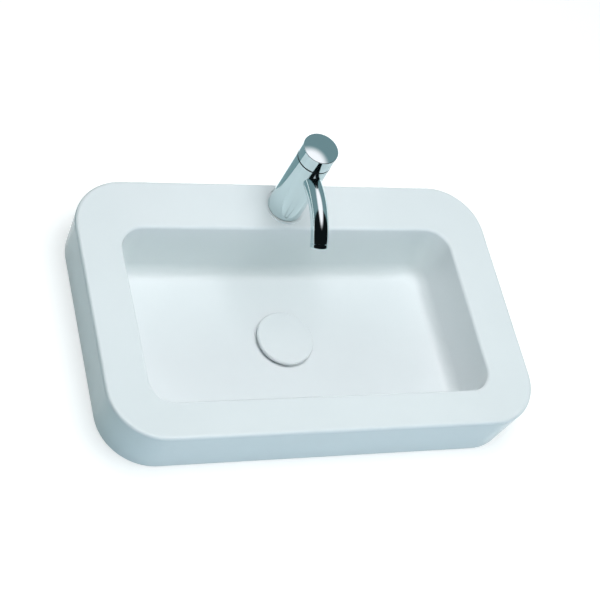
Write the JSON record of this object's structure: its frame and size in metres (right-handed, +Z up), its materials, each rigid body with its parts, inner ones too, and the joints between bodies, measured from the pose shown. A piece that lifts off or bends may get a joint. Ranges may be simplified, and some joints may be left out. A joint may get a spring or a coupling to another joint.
{
  "type": "countertop basin",
  "caption": "Countertop basin of white glazed ceramic with a sloping rim and a dished bowl that sinks through the counter, a chrome mixer tap worked by its turning cap, and a push-open waste under a ceramic cover.",
  "frame": {"origin": "on the counter's top, at the middle of the basin's foot and on the drain's axis", "axes": "+X to the user's right, +Y to the wall behind, +Z up"},
  "size_m": [0.6, 0.375, 0.3103],
  "materials": {
    "white_ceramic": "smooth white glaze",
    "disc_ceramic": "lapped, matt",
    "chrome": "polished plate",
    "brass": "machined",
    "steel": "machined",
    "black_rubber": "matt",
    "dark_plastic": "matt",
    "white_plastic": "moulded"
  },
  "bodies": {
    "basin": {"basin": "white_ceramic", "fixed_disc": "disc_ceramic", "tap_body": "chrome", "spout": "chrome", "aerator_housing": "chrome", "waste_body": "chrome", "cartridge_nut": "brass", "click_housing": "brass", "waste_locknut": "brass", "fixing_stud": "steel", "horseshoe_washer": "steel", "fixing_nut": "steel", "click_spring": "steel", "flange_seal": "black_rubber", "hub_seal": "black_rubber", "base_seal": "black_rubber", "cartridge_seals": "black_rubber", "aerator_seal": "black_rubber", "horseshoe_gasket": "black_rubber", "slip_ring": "dark_plastic", "cartridge_housing": "white_plastic", "aerator_insert": "white_plastic", "aerator_screen": "white_plastic", "slip_washer": "white_plastic"},
    "handle": {"handle_cap": "chrome", "handle_insert": "white_plastic", "grub_screw": "steel", "cartridge_stem": "brass", "stem_ring": "black_rubber", "moving_disc": "disc_ceramic"},
    "plug": {"plug_cover": "white_ceramic", "plug_carrier": "brass", "plug_seal": "black_rubber", "click_stem": "brass"}
  },
  "joints": [
    {"name": "handle_turn", "type": "hinge", "parent": "basin", "child": "handle", "pos_m": [0, 0.15325, 0.2], "axis": [0, 0, 1], "range_deg": [0, 105]},
    {"name": "plug_press", "type": "slide", "parent": "basin", "child": "plug", "axis": [0, 0, -1], "range_m": [0, 0.004], "stiffness_N_per_m": 400, "springref_m": -0.012, "deforming": ["click_spring"]}
  ]
}
